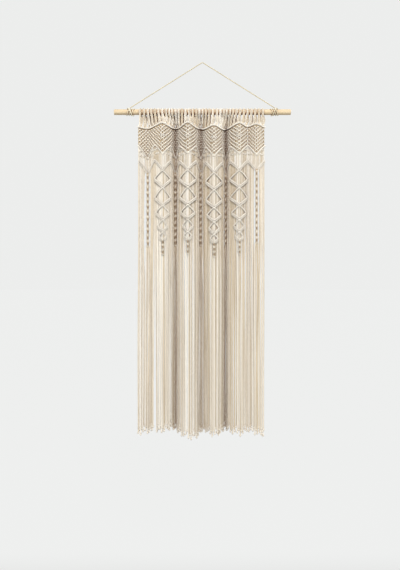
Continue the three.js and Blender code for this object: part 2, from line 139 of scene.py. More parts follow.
def withPaintedShade(tree, base, shadeData):
    near = addNode(tree, "ShaderNodeAmbientOcclusion", {"Distance": shadeData["reach"]}, samples=6)
    lightness = addNode(tree, "ShaderNodeMapRange", {
        "Value": near.outputs["AO"], "From Min": shadeData["shut"], "From Max": shadeData["open"]},
        interpolation_type="SMOOTHSTEP").outputs[0]
    return multiplied(tree, base, ramp(tree, lightness, [(0.0, shadeData["shadeColour"]), (1.0, "#FFFFFF")]))


# Soft laid cotton cord: three plies twisted together, matt, with a fine nap that catches the light
# at grazing angles. The ply lines follow each cord, from the attribute that its mesh carries.
lay = {"plies": 3, "roundness": 0.6, "plyShade": 0.72, "patchShade": 0.3, "nap": 0.25}


def cottonCord(name, light, grooveShade, plyDepth, turnLength):
    material, tree, surface = newMaterial(name)
    line = addNode(tree, "ShaderNodeAttribute", attribute_name="cordLine").outputs["Vector"]
    parts = addNode(tree, "ShaderNodeSeparateXYZ", {0: line}).outputs
    angle = calc(tree, "ARCTAN2", parts[1], parts[0])
    turned = calc(tree, "ADD", angle, calc(tree, "MULTIPLY", parts[2], tau / turnLength))
    ply = calc(tree, "ABSOLUTE", calc(tree, "SINE", calc(tree, "MULTIPLY", turned, lay["plies"] / 2)))
    here = addNode(tree, "ShaderNodeTexCoord").outputs["Object"]
    fibre = addNode(tree, "ShaderNodeTexNoise", {"Vector": here, "Scale": 1400.0, "Detail": 3.0})
    patch = addNode(tree, "ShaderNodeTexNoise", {"Vector": here, "Scale": 22.0, "Detail": 2.0})
    tone = addNode(tree, "ShaderNodeAttribute", attribute_name="tone").outputs["Fac"]
    plyShade = calc(tree, "MULTIPLY", calc(tree, "POWER", ply, lay["roundness"]), lay["plyShade"])
    patchShade = calc(tree, "MULTIPLY", patch.outputs["Fac"], lay["patchShade"])
    shade = calc(tree, "ADD", plyShade, patchShade)
    # Painted shade in the ply grooves: between the plies the colour darkens to the groove shade
    base = ramp(tree, shade, [(0.1, grooveShade), (0.7, light), (1.0, light)])
    # The tone lightens or dims each cord at random; its brown low end is painted shade, for the spirals'
    # edge-on knots and their core cords
    toneWithPaintedShade = ramp(tree, tone, [(0.0, "#9C7C58"), (0.4, "#DDD0BA"), (1.0, "#FFFFFF")])
    base = multiplied(tree, base, toneWithPaintedShade)
    # Painted shade deep in the folds and between the cords
    for shadeData in paintedFoldAndGapShade:
        base = withPaintedShade(tree, base, shadeData)
    tree.links.new(base, surface.inputs["Base Color"])
    relief = calc(tree, "ADD", ply, calc(tree, "MULTIPLY", fibre.outputs["Fac"], lay["nap"]))
    bump = addNode(tree, "ShaderNodeBump", {"Height": relief, "Distance": plyDepth, "Strength": 0.8})
    tree.links.new(bump.outputs["Normal"], surface.inputs["Normal"])
    surface.inputs["Roughness"].default_value = 0.92
    surface.inputs["Sheen Weight"].default_value = 0.25
    surface.inputs["Sheen Roughness"].default_value = 0.6
    surface.inputs["Specular IOR Level"].default_value = 0.25
    return material


# Sanded pine, bare: pale and nearly matt, with long fibres along the rod and rings on its ends
def sandedPine():
    material, tree, surface = newMaterial("SandedPine")
    here = addNode(tree, "ShaderNodeTexCoord").outputs["Object"]
    stretched = addNode(tree, "ShaderNodeMapping", {"Vector": here, "Scale": (6.0, 110.0, 110.0)})
    grain = addNode(tree, "ShaderNodeTexNoise", {
        "Vector": stretched.outputs[0], "Scale": 1.0, "Detail": 5.0, "Roughness": 0.6})
    centred = addNode(tree, "ShaderNodeMapping", {
        "Vector": here, "Location": (0.0, 0.035, -dowelAxis + 0.02), "Scale": (0.35, 1.0, 1.0)})
    rings = addNode(tree, "ShaderNodeTexWave", {
        "Vector": centred.outputs[0], "Scale": 75.0, "Distortion": 2.4, "Detail": 2.0, "Detail Scale": 3.0},
        wave_type="RINGS", rings_direction="X")
    pattern = calc(tree, "ADD", calc(tree, "MULTIPLY", rings.outputs["Fac"], 0.4),
                   calc(tree, "MULTIPLY", grain.outputs["Fac"], 0.6))
    base = ramp(tree, pattern, [(0.22, "#B89C74"), (0.5, "#CBB691"), (0.85, "#D8C8AA")])
    # Painted shade: redder and darker where the loops shade it
    base = withPaintedShade(tree, base, {"reach": 0.03, "shut": 0.40, "open": 0.98, "shadeColour": "#A0705A"})
    tree.links.new(base, surface.inputs["Base Color"])
    bump = addNode(tree, "ShaderNodeBump", {
        "Height": grain.outputs["Fac"], "Distance": 0.0003, "Strength": 0.5})
    tree.links.new(bump.outputs["Normal"], surface.inputs["Normal"])
    surface.inputs["Roughness"].default_value = 0.55
    surface.inputs["IOR"].default_value = 1.5
    return material


# A 5 mm cord lays its three plies round once in about 16 mm. The hanging cord is thinner and laid
# harder, and where it is wound round the dowel it is looser and paler.
curtainCotton = cottonCord("TwistedCotton", "#EEE8DC", "#D2C3AA", 0.0007, 0.016)
hangingCotton = cottonCord("HardLaidCotton", "#D2C8A6", "#C0B38E", 0.0002, 0.012)
looseCotton = cottonCord("LooseLaidCotton", "#EDE5C9", "#BDB08A", 0.0005, 0.012)
# A shaded copy of the cotton, darker as painted shade, for the cords deep inside the leaves, which only show
# between the knots
shadedCopyCotton = cottonCord("ShadedCopyCotton", "#D3BF9C", "#AD936F", 0.0005, 0.014)
pine = sandedPine()


def newTree(name, inputs):
    tree = bpy.data.node_groups.new(name, "GeometryNodeTree")
    tree.interface.new_socket("Geometry", in_out="INPUT", socket_type="NodeSocketGeometry")
    for label, kind in inputs:
        tree.interface.new_socket(label, in_out="INPUT", socket_type=kind)
    tree.interface.new_socket("Geometry", in_out="OUTPUT", socket_type="NodeSocketGeometry")
    return tree, tree.nodes.new("NodeGroupInput").outputs


def endTree(tree, geometry, material):
    real = addNode(tree, "GeometryNodeRealizeInstances", {"Geometry": geometry})
    painted = addNode(tree, "GeometryNodeSetMaterial", {"Geometry": real.outputs[0], "Material": material})
    addNode(tree, "NodeGroupOutput", {0: painted.outputs[0]})
    return tree


# Keeps a number with each point of a curve, for the mesh that it becomes
def measured(tree, curve, name, value):
    node = addNode(tree, "GeometryNodeCaptureAttribute", {0: curve})
    node.capture_items.new("FLOAT", name)
    tree.links.new(value, node.inputs[1])
    return node.outputs[0], node.outputs[1]


# Cords along lines: each chain of edges becomes a round cord that knows its own length and angle
def cordTree():
    tree, given = newTree("CordsAlongLines", [
        ("Thickness", "NodeSocketFloat"), ("Sides", "NodeSocketInt"),
        ("Smoothing", "NodeSocketInt"), ("Material", "NodeSocketMaterial")])
    curve = addNode(tree, "GeometryNodeMeshToCurve", {0: given["Geometry"]}).outputs[0]
    curve = addNode(tree, "GeometryNodeCurveSplineType", {0: curve}, spline_type="CATMULL_ROM").outputs[0]
    curve = addNode(tree, "GeometryNodeSetSplineResolution", {
        "Geometry": curve, "Resolution": given["Smoothing"]}).outputs[0]
    curve = addNode(tree, "GeometryNodeResampleCurve", {"Curve": curve}, mode="EVALUATED").outputs[0]
    place = addNode(tree, "GeometryNodeSplineParameter").outputs
    curve, along = measured(tree, curve, "along", place["Length"])
    radius = calc(tree, "MULTIPLY", given["Thickness"], 0.5)
    circle = addNode(tree, "GeometryNodeCurvePrimitiveCircle", {
        "Resolution": given["Sides"], "Radius": radius}).outputs[0]
    circle, around = measured(tree, circle, "around", calc(tree, "MULTIPLY", place["Factor"], tau))
    tube = addNode(tree, "GeometryNodeCurveToMesh", {
        "Curve": curve, "Profile Curve": circle, "Fill Caps": True}).outputs[0]
    line = addNode(tree, "ShaderNodeCombineXYZ", {
        0: calc(tree, "COSINE", around), 1: calc(tree, "SINE", around), 2: along}).outputs[0]
    tube = addNode(tree, "GeometryNodeStoreNamedAttribute", {
        "Geometry": tube, "Name": "cordLine", "Value": line},
        data_type="FLOAT_VECTOR", domain="POINT").outputs[0]
    tube = addNode(tree, "GeometryNodeSetShadeSmooth", {"Geometry": tube}).outputs[0]
    return endTree(tree, tube, given["Material"])


# What each point carries under a name
def carriedBy(tree, name, kind="FLOAT_VECTOR"):
    node = addNode(tree, "GeometryNodeInputNamedAttribute", {"Name": name}, data_type=kind)
    return node.outputs["Attribute"]


# One shape at each point, turned to its face and its side, sized and toned
def stampTree():
    tree, given = newTree("KnotsAtPoints", [
        ("Knot", "NodeSocketObject"), ("Material", "NodeSocketMaterial")])
    knot = addNode(tree, "GeometryNodeObjectInfo", {"Object": given["Knot"]}).outputs["Geometry"]
    turn = addNode(tree, "FunctionNodeAxesToRotation", {
        0: carriedBy(tree, "out"), 1: carriedBy(tree, "right")},
        primary_axis="Z", secondary_axis="X").outputs[0]
    put = addNode(tree, "GeometryNodeInstanceOnPoints", {
        "Points": given["Geometry"], "Instance": knot, "Rotation": turn,
        "Scale": carriedBy(tree, "size")}).outputs[0]
    put = addNode(tree, "GeometryNodeStoreNamedAttribute", {
        "Geometry": put, "Name": "tone", "Value": carriedBy(tree, "tone", "FLOAT")},
        data_type="FLOAT", domain="INSTANCE").outputs[0]
    return endTree(tree, put, given["Material"])


# Hitches side by side along a row: the row's line is walked at the pitch, one turn of cord at each step
def rowTree():
    tree, given = newTree("HitchesAlongRow", [
        ("Turn of cord", "NodeSocketObject"), ("Pitch", "NodeSocketFloat"),
        ("Size", "NodeSocketFloat"), ("Material", "NodeSocketMaterial")])
    turnOfCord = addNode(tree, "GeometryNodeObjectInfo", {"Object": given["Turn of cord"]})
    row = addNode(tree, "GeometryNodeMeshToCurve", {0: given["Geometry"]}).outputs[0]
    steps = addNode(tree, "GeometryNodeResampleCurve", {
        "Curve": row, "Length": given["Pitch"]}, mode="LENGTH").outputs[0]
    along = addNode(tree, "GeometryNodeInputTangent").outputs[0]
    turn = addNode(tree, "FunctionNodeAxesToRotation", {0: along, 1: carriedBy(tree, "out")},
                   primary_axis="X", secondary_axis="Z").outputs[0]
    put = addNode(tree, "GeometryNodeInstanceOnPoints", {
        "Points": steps, "Instance": turnOfCord.outputs["Geometry"], "Rotation": turn,
        "Scale": given["Size"]}).outputs[0]
    return endTree(tree, put, given["Material"])


cordsAlongLines = cordTree()
knotsAtPoints = stampTree()
hitchesAlongRow = rowTree()


# Lines as a mesh of points and edges, whose points carry numbers or directions
def lineMesh(name, lines, closed=False, **carried):
    points = [p for line in lines for p in line]
    edges = []
    first = 0
    for line in lines:
        edges += [(first + i, first + i + 1) for i in range(len(line) - 1)]
        if closed:
            edges.append((first + len(line) - 1, first))
        first += len(line)
    mesh = bpy.data.meshes.new(name)
    mesh.from_pydata(points, edges, [])
    for key, values in carried.items():
        if isinstance(values[0], float):
            mesh.attributes.new(key, "FLOAT", "POINT").data.foreach_set("value", values)
        else:
            flat = [n for v in values for n in v]
            mesh.attributes.new(key, "FLOAT_VECTOR", "POINT").data.foreach_set("vector", flat)
    return mesh


# Runs a tree on a mesh and keeps the result as a plain object
def grown(name, tree, mesh, **values):
    holder = bpy.data.objects.new(name, mesh)
    bpy.context.scene.collection.objects.link(holder)
    modifier = holder.modifiers.new("Grow", "NODES")
    modifier.node_group = tree
    for item in tree.interface.items_tree:
        key = item.name.replace(" ", "_")
        if item.in_out == "INPUT" and key in values:
            modifier[item.identifier] = values[key]
    graph = bpy.context.evaluated_depsgraph_get()
    built = bpy.data.meshes.new_from_object(
        holder.evaluated_get(graph), preserve_all_data_layers=True, depsgraph=graph)
    holder.modifiers.clear()
    holder.data = built
    built.name = name
    return holder


# How light cords and knots are, out of 1: each draws its own tone at random between these. The cords' spread
# is their own; the knots are kept at the light end, a painted highlight where they stand proud
toneRange = {"cords": (0.4, 1.0), "knots": (0.88, 1.0)}


def cords(name, lines, thickness, sides=6, smoothing=2, closed=False, material=None, tones=None):
    tones = tones or [chance.uniform(*toneRange["cords"]) for _ in lines]
    perPoint = [tone for line, tone in zip(lines, tones) for _ in line]
    mesh = lineMesh(name, lines, closed, tone=perPoint)
    return grown(name, cordsAlongLines, mesh, Thickness=thickness, Sides=sides, Smoothing=smoothing,
                 Material=material or curtainCotton)


def joined(name, objects):
    with bpy.context.temp_override(active_object=objects[0], selected_editable_objects=objects):
        bpy.ops.object.join()
    objects[0].name = name
    return objects[0]


# The curtain from above: edges and middles of its nine knotted columns, as in the solids.
# loop is the length from the dowel's axis to the header bar, hem how far the strands reach.
planRows = [
    {"x": -0.326, "y": -0.026, "loop": 0.086, "hem": 1.624},
    {"x": -0.277, "y": -0.002, "loop": 0.084, "hem": 1.622},
    {"x": -0.240, "y": -0.028, "loop": 0.083, "hem": 1.606},
    {"x": -0.201, "y": -0.047, "loop": 0.082, "hem": 1.604},
    {"x": -0.164, "y": -0.014, "loop": 0.081, "hem": 1.596},
    {"x": -0.137, "y": 0.026, "loop": 0.082, "hem": 1.612},
    {"x": -0.112, "y": -0.010, "loop": 0.081, "hem": 1.622},
    {"x": -0.074, "y": -0.048, "loop": 0.080, "hem": 1.640},
    {"x": -0.035, "y": -0.010, "loop": 0.081, "hem": 1.644},
    {"x": -0.008, "y": 0.028, "loop": 0.083, "hem": 1.618},
    {"x": 0.020, "y": -0.010, "loop": 0.086, "hem": 1.612},
    {"x": 0.058, "y": -0.047, "loop": 0.091, "hem": 1.630},
    {"x": 0.097, "y": -0.010, "loop": 0.089, "hem": 1.618},
    {"x": 0.120, "y": 0.028, "loop": 0.086, "hem": 1.604},
    {"x": 0.143, "y": -0.010, "loop": 0.082, "hem": 1.614},
    {"x": 0.185, "y": -0.045, "loop": 0.080, "hem": 1.624},
    {"x": 0.229, "y": -0.014, "loop": 0.079, "hem": 1.608},
    {"x": 0.272, "y": -0.034, "loop": 0.077, "hem": 1.622},
    {"x": 0.315, "y": -0.008, "loop": 0.080, "hem": 1.634},
]
# Strands and loops are counted to a column
cloth = {"strands": 16, "loops": 4, "samples": 24, "turnsAway": 0.4}


def mix(a, b, t):
    return a + (b - a) * t


# A smooth line through the rows, with its length measured as it goes
def layCloth():
    ends = [Vector((row["x"], row["y"])) for row in planRows]
    ends = [2 * ends[0] - ends[1], *ends, 2 * ends[-1] - ends[-2]]
    spots, rowAlong, along = [], [0.0], 0.0
    for i in range(len(planRows) - 1):
        before, here, there, after = ends[i:i + 4]
        spans = [(b - a).length ** 0.5 for a, b in ((before, here), (here, there), (there, after))]
        leave = (((here - before) / spans[0] - (there - before) / (spans[0] + spans[1])) * spans[1]
                 + there - here)
        arrive = (((after - there) / spans[2] - (after - here) / (spans[1] + spans[2])) * spans[1]
                  + there - here)
        for step in range(cloth["samples"]):
            t = step / cloth["samples"]
            place = (here * (2 * t ** 3 - 3 * t * t + 1) + leave * (t ** 3 - 2 * t * t + t)
                     + there * (3 * t * t - 2 * t ** 3) + arrive * (t ** 3 - t * t))
            if spots:
                along += (place - spots[-1]["place"]).length
            a, b = planRows[i], planRows[i + 1]
            spots.append({"place": place, "along": along,
                          "loop": mix(a["loop"], b["loop"], t), "hem": mix(a["hem"], b["hem"], t)})
        rowAlong.append(along + (there - place).length)
    last = planRows[-1]
    spots.append({"place": there, "along": rowAlong[-1], "loop": last["loop"], "hem": last["hem"]})
    return spots, rowAlong


clothSpots, rowAlong = layCloth()


# The cloth at a length along it: its place from above, which way it runs and faces, and its heights
def clothAt(along):
    step = next((i for i, spot in enumerate(clothSpots) if spot["along"] > along), len(clothSpots) - 1)
    a, b = clothSpots[max(step - 1, 0)], clothSpots[max(step, 1)]
    t = (along - a["along"]) / (b["along"] - a["along"])
    place = a["place"].lerp(b["place"], t)
    run = (b["place"] - a["place"]).normalized()
    loop = mix(a["loop"], b["loop"], t)
    return {"place": place, "right": Vector((run.x, run.y, 0)), "out": Vector((run.y, -run.x, 0)),
            "bar": dowelAxis - math.sqrt(loop ** 2 - place.y ** 2),
            "hem": dowelAxis - mix(a["hem"], b["hem"], t)}


columns = []
for i in range(1, len(planRows), 2):
    columns.append({
        "index": len(columns),
        "kind": "spiral" if len(columns) % 2 == 0 else "diamond",
        "middle": rowAlong[i],
        "leftHalf": rowAlong[i] - rowAlong[i - 1],
        "rightHalf": rowAlong[i + 1] - rowAlong[i]})


# In a column, f is a share of its half width: -1 at its left edge, 0 in its middle, 1 at its right
def halfOf(column, f):
    return column["leftHalf"] if f < 0 else column["rightHalf"]


def alongAt(column, f):
    return column["middle"] + f * halfOf(column, f)


def spotAt(column, f):
    return clothAt(alongAt(column, f))


# A point of the cloth at a height, and one that lies a distance down from the header bar there
def heightAt(column, f, z, out=0.0):
    spot = spotAt(column, f)
    return Vector((*spot["place"], z)) + spot["out"] * out


def pointAt(column, f, down, out=0.0):
    return heightAt(column, f, spotAt(column, f)["bar"] - down, out)


# Where the strand k of a column hangs
def shareOf(k):
    return (2 * k + 1 - cloth["strands"]) / cloth["strands"]


# A zigzag row is straight as seen from the front, where the cloth's sides turn away
def zigzag(row, f):
    return mix(row["middle"], row["edge"], abs(f) + cloth["turnsAway"] * abs(f) * (1 - abs(f)))


# The cord that everything hangs from: taut, from one hitch up over its bend and down to the other
hanging = {"thickness": 0.004, "bend": 0.010, "footX": 0.369, "hitchOuter": 0.0194, "gap": 0.0003,
           "perLeg": 9, "perBend": 7}


def hangingLine():
    radius = hanging["thickness"] / 2
    foot = Vector((hanging["footX"], 0, dowelAxis + hanging["hitchOuter"] + hanging["gap"] + radius))
    slope = math.atan2(radius - foot.z, foot.x)
    centre = radius - hanging["bend"]
    right = []
    for step in range(hanging["perBend"] // 2 + 1):
        lean = slope * step / (hanging["perBend"] // 2)
        right.append(Vector((hanging["bend"] * math.sin(lean), 0, centre + hanging["bend"] * math.cos(lean))))
    bendEnd = right[-1]
    right += [bendEnd.lerp(foot, step / hanging["perLeg"]) for step in range(1, hanging["perLeg"] + 1)]
    left = [Vector((-p.x, 0, p.z)) for p in right[1:]]
    return [*reversed(left), *right]


def makeHangingCord():
    line = hangingLine()
    piece = cords("hangingTwine", [line], hanging["thickness"], sides=10, smoothing=3, material=hangingCotton)
    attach(piece, "root")
    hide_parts("hanging_cord")


makeHangingCord()


# A point beside the dowel, at an angle that is zero at its front and a quarter turn at its top
def roundDowel(x, radius, angle):
    return Vector((x, -radius * math.cos(angle), dowelAxis + radius * math.sin(angle)))


# Its hitch at each end of the dowel: slanting turns, and a crossing with the end tucked under. The
# crossing's angles are in turns, its reach in pitches and its rise in thicknesses.
hitch = {"turns": 3, "pitch": 0.0110, "lift": 0.0024, "thickness": 0.0048, "slant": 0.005, "perTurn": 16,
         "crossing": {"steps": 12, "angles": (0.36, -0.30), "reach": (-1.6, 1.7), "rise": (0.25, 0.7)}}


def makeHitch(side, node):
    middle = (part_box(node)[0][0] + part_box(node)[1][0]) / 2
    radius = dowelRadius + hitch["lift"]
    winding = []
    for step in range(hitch["turns"] * hitch["perTurn"] + 1):
        turned = step / hitch["perTurn"]
        angle = tau * turned + tau / 4
        x = (turned - hitch["turns"] / 2) * hitch["pitch"] + hitch["slant"] * math.sin(angle)
        winding.append(roundDowel(middle + side * x, radius, angle))
    over = hitch["crossing"]
    low, rise = over["rise"]
    crossing = []
    for step in range(over["steps"] + 1):
        t = step / over["steps"]
        high = radius + hitch["thickness"] * (low + rise * math.sin(math.pi * t))
        x = mix(*over["reach"], t) * hitch["pitch"]
        crossing.append(roundDowel(middle + side * x, high, mix(*over["angles"], t) * tau))
    piece = cords(node + "Turns", [winding, crossing], hitch["thickness"], sides=8, material=looseCotton)
    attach(piece, "root")
    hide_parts(node)


makeHitch(1, "hitch_left")
makeHitch(-1, "hitch_right")

# The dowel: turned smooth, with its ends just broken by sandpaper
rod = {"sides": 72, "rounding": 0.0016, "arcs": 4, "lengths": 30, "waver": 0.00012, "waverAlong": 9,
       "waverAround": 3}


def makeDowel():
    low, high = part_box("dowel")
    half = (high[0] - low[0]) / 2
    profile = [(-half, 0.0)]
    corners = [rod["rounding"] * (1 - math.cos(tau / 4 * i / rod["arcs"])) for i in range(rod["arcs"] + 1)]
    sides = [rod["rounding"] * (1 - math.sin(tau / 4 * i / rod["arcs"])) for i in range(rod["arcs"] + 1)]
    profile += [(-half + c, dowelRadius - s) for c, s in zip(corners, sides)]
    inner = half - rod["rounding"]
    profile += [(mix(-inner, inner, i / rod["lengths"]), dowelRadius) for i in range(1, rod["lengths"])]
    profile += [(half - c, dowelRadius - s) for c, s in zip(reversed(corners), reversed(sides))]
    profile.append((half, 0.0))
    points, faces = [], []
    for x, radius in profile:
        if radius == 0:
            points.append(Vector((x, 0, dowelAxis)))
            continue
        for i in range(rod["sides"]):
            angle = tau * i / rod["sides"]
            wave = math.sin(rod["waverAlong"] * x + rod["waverAround"] * angle)
            points.append(roundDowel(x, radius + rod["waver"] * wave * (radius / dowelRadius), angle))
    circles = len(profile) - 2
    for circle in range(circles - 1):
        for i in range(rod["sides"]):
            a = 1 + circle * rod["sides"] + i
            b = 1 + circle * rod["sides"] + (i + 1) % rod["sides"]
            faces.append((a, b, b + rod["sides"], a + rod["sides"]))
    last = 1 + (circles - 1) * rod["sides"]
    for i in range(rod["sides"]):
        faces.append((0, 1 + (i + 1) % rod["sides"], 1 + i))
        faces.append((len(points) - 1, last + i, last + (i + 1) % rod["sides"]))
    mesh = bpy.data.meshes.new("sandedRod")
    mesh.from_pydata(points, [], faces)
    mesh.shade_smooth()
    mesh.materials.append(pine)
    piece = bpy.data.objects.new("sandedRod", mesh)
    bpy.context.scene.collection.objects.link(piece)
    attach(piece, "root")
    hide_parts("dowel")


makeDowel()
print("dowel and hitches made")

# The knots, each tied once in millimetres and then stamped where it belongs
mm = 0.001


def tied(name, lines, thickness, sides=5, closed=False):
    lines = [[Vector(p) * mm for p in line] for line in lines]
    # A tied shape carries the full tone; the hitch turns keep it, so the rows of hitches stay lightest, a
    # painted highlight on the ridges
    return cords(name, lines, thickness * mm, sides, 1, closed, tones=[1.0] * len(lines))


# A closed turn of cord, wide to its sides and deep to its front and back, that leans as it goes
def ring(steps, wide, deep, lean, turned=0.0, up=0.0):
    angles = [tau * i / steps for i in range(steps)]
    return [(wide * math.cos(a), lean * math.cos(a + turned) + up, deep * math.sin(a)) for a in angles]


# One turn of a half hitch round its bar: a ring that leans along the row
halfHitch = {"steps": 9, "radius": 2.75, "lean": 1.1, "thickness": 4.1, "pitch": 0.004}


def hitchTurn():
    angles = [tau * i / halfHitch["steps"] for i in range(halfHitch["steps"])]
    turn = [(halfHitch["lean"] * math.sin(a), halfHitch["radius"] * math.cos(a),
             halfHitch["radius"] * math.sin(a)) for a in angles]
    return tied("hitchTurn", [turn], halfHitch["thickness"], closed=True)


def squareKnot():
    front = [(-6.9, 0.4, -1.3), (-6.3, 2.1, 1.2), (-2.2, 2.7, 3.0), (2.4, 1.7, 3.3), (6.3, 0.6, 1.1),
             (6.9, -0.6, -1.3)]
    crossed = [(-x, -y, z) for x, y, z in front]
    back = [[(-6.6, y, -0.8), (0, y * 0.8, -2.7), (6.6, y, -0.8)] for y in (2.2, -2.2)]
    legs = [[(x, -1.5, -0.6), (x * 1.25, -7.4, 0.0)] for x in (-5.6, 5.6)]
    return tied("squareKnot", [front, crossed, *back, *legs], 3.9)


# A small square knot of the leaves, the same from both sides: two loops that cross over the four cords
def leafKnot():
    loops = [ring(9, 3.7, 3.0, side * 2.2, turned=0.3) for side in (-1, 1)]
    legs = [[(x, -2.6, face), (x * 2.6, -7.6, face * 0.6)] for x in (-2.7, 2.7) for face in (-2.0, 2.0)]
    return joined("leafKnot", [tied("leafLoops", loops, 3.8, closed=True),
                               tied("leafLegs", legs, 2.6, sides=4)])


# One half knot of a spiral: its cord goes once round the four middle ones, leaning
def halfKnot():
    return tied("halfKnot", [ring(12, 7.4, 3.2, 2.2)], 4.8, closed=True)


# The knot at a strand's end: two turns pulled tight, and a short brush of loose plies
def endKnot():
    turns = [ring(8, 3.0, 3.0, 1.5, turned=0.8, up=1.8 * side) for side in (-1, 1)]
    brush = []
    for i in range(6):
        angle = tau * i / 6
        brush.append([(0.8 * math.cos(angle), 0, 0.8 * math.sin(angle)),
                      (1.7 * math.cos(angle), -4.5, 1.7 * math.sin(angle)),
                      (2.3 * math.cos(angle + 0.5), -7.6 - 0.8 * (i % 3), 2.3 * math.sin(angle + 0.5))])
    return joined("endKnot", [tied("endTurns", turns, 4.0, closed=True),
                              tied("endBrush", brush, 1.3, sides=4)])


knotShapes = {"leaf": leafKnot(), "hitchTurn": hitchTurn(), "square": squareKnot(), "half": halfKnot(),
              "end": endKnot()}

# A stamped knot takes its tone from its place
for shape in ("leaf", "square", "half", "end"):
    carried = knotShapes[shape].data.attributes
    carried.remove(carried["tone"])


def stamped(name, shape, places):
    mesh = lineMesh(name, [[place["at"]] for place in places],
                    out=[place["out"] for place in places], right=[place["right"] for place in places],
                    size=[place.get("size", (1, 1, 1)) for place in places],
                    tone=[place.get("tone", chance.uniform(*toneRange["knots"])) for place in places])
    return grown(name, knotsAtPoints, mesh, Knot=knotShapes[shape], Material=curtainCotton)


# Half hitches along rows, each a line of points and where the cloth faces at each of them
def hitched(name, rows, size):
    mesh = lineMesh(name, [line for line, outs in rows], out=[out for line, outs in rows for out in outs])
    return grown(name, hitchesAlongRow, mesh, Turn_of_cord=knotShapes["hitchTurn"],
                 Pitch=halfHitch["pitch"] * size, Size=size, Material=curtainCotton)


# A row across a column, as far as reach to each side. downAt says how deep it lies at a share of the
# width, below the header bar there or below a level.
def rowAcross(column, reach, downAt, out, level=None, stops=6):
    shares = [reach * i / stops for i in range(-stops, stops + 1)]
    if level is None:
        line = [pointAt(column, f, downAt(f), out) for f in shares]
    else:
        line = [heightAt(column, f, level - downAt(f), out) for f in shares]
    return line, [spotAt(column, f)["out"] for f in shares]


# The leaf panel: header bar, leaves of alternating square knots, a zigzag row and the open band. A knot
# keeps its own width where half a column is as wide as knotHalf.
panel = {"barSize": 1.0, "barOut": 0.0022, "leafMiddle": 0.157, "leafEdge": 0.095, "yokeMiddle": 0.229,
         "yokeEdge": 0.167,
         "knotRows": 18, "knotsAcross": 6, "knotRow": 0.00905, "firstKnots": 0.0125, "rowRoom": 0.0087,
         "knotHalf": 0.046, "middleSize": 1.16,
         "coreCords": 32, "coreReach": 0.985, "coreThickness": 0.0030,
         "bandThickness": 0.0046, "bandSteps": 6, "drawnIn": 0.10, "drawnReach": 0.4, "bandOut": 0.0006}
leafRow = {"middle": panel["leafMiddle"], "edge": panel["leafEdge"]}
yokeRow = {"middle": panel["yokeMiddle"], "edge": panel["yokeEdge"]}
# The small hole in the leaf of a diamond column, left of its middle, and the short V below it
hole = {"share": -0.167, "down": 0.076, "wide": 0.02, "high": 0.009}
shortRow = {"down": 0.066, "rise": 0.012, "reach": 0.26, "out": 0.0030, "size": 0.55}
# The square knots beside a leaf's point: share of the half width, and how far below the zigzag row
bandPlaces = [(-0.75, 0.0135), (0.75, 0.0135), (-0.5, 0.025), (0.5, 0.025), (-1, 0.025), (-0.75, 0.0365),
              (0.75, 0.0365)]


def knotAt(column, f, down, size=1.0):
    spot = spotAt(column, f)
    half = halfOf(column, f)
    if abs(f) < 0.01:
        half = (column["leftHalf"] + column["rightHalf"]) / 2
    wide = size * half / panel["knotHalf"]
    return {"at": pointAt(column, f, down), "out": spot["out"], "right": spot["right"],
            "size": (wide, size, size)}


# At the curtain's left edge there is no next column for a knot to hold
def pastEdge(column, f):
    return f == -1 and column["index"] == 0


def inHole(column, f, down):
    return (column["kind"] == "diamond" and abs(f - hole["share"]) < hole["wide"]
            and abs(down - hole["down"]) < hole["high"])


def leafKnots(column):
    places = []
    across = panel["knotsAcross"]
    for row in range(panel["knotRows"]):
        down = panel["firstKnots"] + row * panel["knotRow"]
        for i in range(across):
            f = (2 * i + 1) / across - 1 if row % 2 == 0 else 2 * i / across - 1
            if pastEdge(column, f) or inHole(column, f, down) or down > zigzag(leafRow, f) - panel["rowRoom"]:
                continue
            inMiddle = i == across / 2 and row % 2 == 1
            places.append(knotAt(column, f, down, panel["middleSize"] if inMiddle else 1.0))
    return places


def bandKnots(column):
    return [knotAt(column, f, zigzag(leafRow, f) + below)
            for f, below in bandPlaces if not pastEdge(column, f)]


def bandStrand(column, k):
    f = shareOf(k)
    top, foot = zigzag(leafRow, f), zigzag(yokeRow, f)
    line = []
    for step in range(panel["bandSteps"] + 1):
        t = step / panel["bandSteps"]
        bulge = math.sin(math.pi * t)
        drawn = panel["drawnIn"] * bulge if abs(f) < panel["drawnReach"] else 0.0
        line.append(pointAt(column, f * (1 - drawn), mix(top, foot, t), panel["bandOut"] * bulge))
    return line


def coreCord(column, i):
    f = panel["coreReach"] * ((2 * i + 1) / panel["coreCords"] - 1)
    return [pointAt(column, f, down) for down in (0.0, zigzag(leafRow, f))]


def makePanel():
    bars = [rowAcross(column, 1.0, downAt, panel["barOut"])
            for column in columns for downAt in (lambda f: 0.0, lambda f: zigzag(leafRow, f))]
    rows = hitched("panelBars", bars, panel["barSize"])
    shortBars = [rowAcross(column, shortRow["reach"],
                           lambda f: shortRow["down"] - shortRow["rise"] * abs(f) / shortRow["reach"],
                           shortRow["out"], stops=3) for column in columns[1::2]]
    inner = hitched("innerBars", shortBars, shortRow["size"])
    strands = [bandStrand(column, k) for column in columns for k in range(cloth["strands"])]
    band = cords("bandStrands", strands, panel["bandThickness"])
    side = stamped("bandKnots", "square", [place for column in columns for place in bandKnots(column)])
    finish(joined("zigzagRows", [rows, inner, band, side]), "knotted_panel")
    core = [coreCord(column, i) for column in columns for i in range(panel["coreCords"])]
    # The leaf core wears the shaded copy: painted shade between the knots
    ground = cords("leafCore", core, panel["coreThickness"], sides=4, smoothing=1, material=shadedCopyCotton)
    knots = stamped("leafKnots", "leaf", [place for column in columns for place in leafKnots(column)])
    finish(joined("leafFields", [knots, ground]), "knotted_panel")


def finish(piece, node):
    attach(piece, "root")
    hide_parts(node)


makePanel()
print("panel made")

